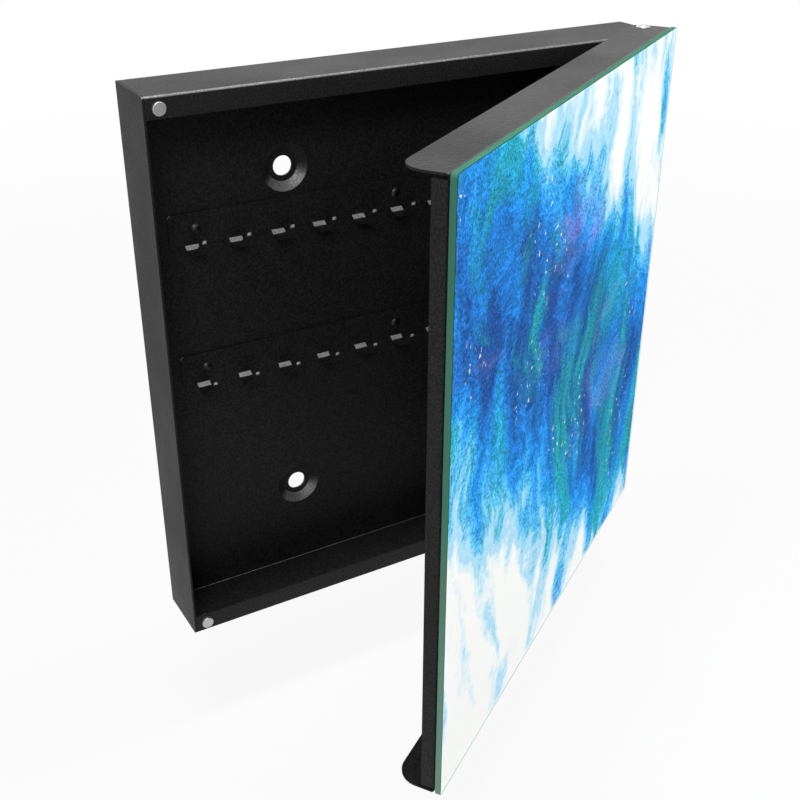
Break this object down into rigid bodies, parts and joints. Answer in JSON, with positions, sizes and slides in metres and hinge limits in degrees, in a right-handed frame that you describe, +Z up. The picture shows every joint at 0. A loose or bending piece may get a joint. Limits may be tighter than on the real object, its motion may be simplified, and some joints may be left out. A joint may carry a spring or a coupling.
{
  "type": "magnetic key box",
  "caption": "Shallow wall-mounted steel key box with rows of bent key hooks and a side-hinged, glass-faced door held shut by magnets.",
  "frame": {"origin": "middle of the four screw holes, in the plane where the case's dishes touch the wall", "axes": "+Y back into the wall, +X to the right seen from the front, +Z up"},
  "size_m": [0.3064, 0.2054, 0.3028],
  "materials": {
    "powder_coat": "fine-textured matt anthracite powder coat",
    "magnet": "nickel plate",
    "dark_rivet": "black-finished rivet",
    "pin_steel": "bright zinc plate",
    "clear_glass": "clear float glass with a green edge",
    "print_film": "colour wash in blue, teal and violet on white, printed on the back of the glass",
    "bonding_tape": "black foam tape"
  },
  "bodies": {
    "case": {"box_shell": "powder_coat", "upper_magnet": "magnet", "lower_magnet": "magnet", "upper_hook_rail": "powder_coat", "lower_hook_rail": "powder_coat", "upper_rail_rivet_left": "dark_rivet", "upper_rail_rivet_middle": "dark_rivet", "upper_rail_rivet_right": "dark_rivet", "lower_rail_rivet_left": "dark_rivet", "lower_rail_rivet_middle": "dark_rivet", "lower_rail_rivet_right": "dark_rivet", "upper_hinge_pin": "pin_steel", "lower_hinge_pin": "pin_steel", "upper_hinge_washer": "pin_steel", "upper_backing_washer": "pin_steel", "lower_hinge_washer": "pin_steel", "lower_backing_washer": "pin_steel"},
    "door": {"door_panel": "powder_coat", "door_glass": "clear_glass", "glass_print": "print_film", "tape_top": "bonding_tape", "tape_bottom": "bonding_tape", "tape_left": "bonding_tape", "tape_right": "bonding_tape"}
  },
  "joints": [
    {"name": "door_hinge", "type": "hinge", "parent": "case", "child": "door", "pos_m": [0.1435, -0.0291, 0], "axis": [0, 0, 1], "range_deg": [-33.5, 101.5]}
  ]
}
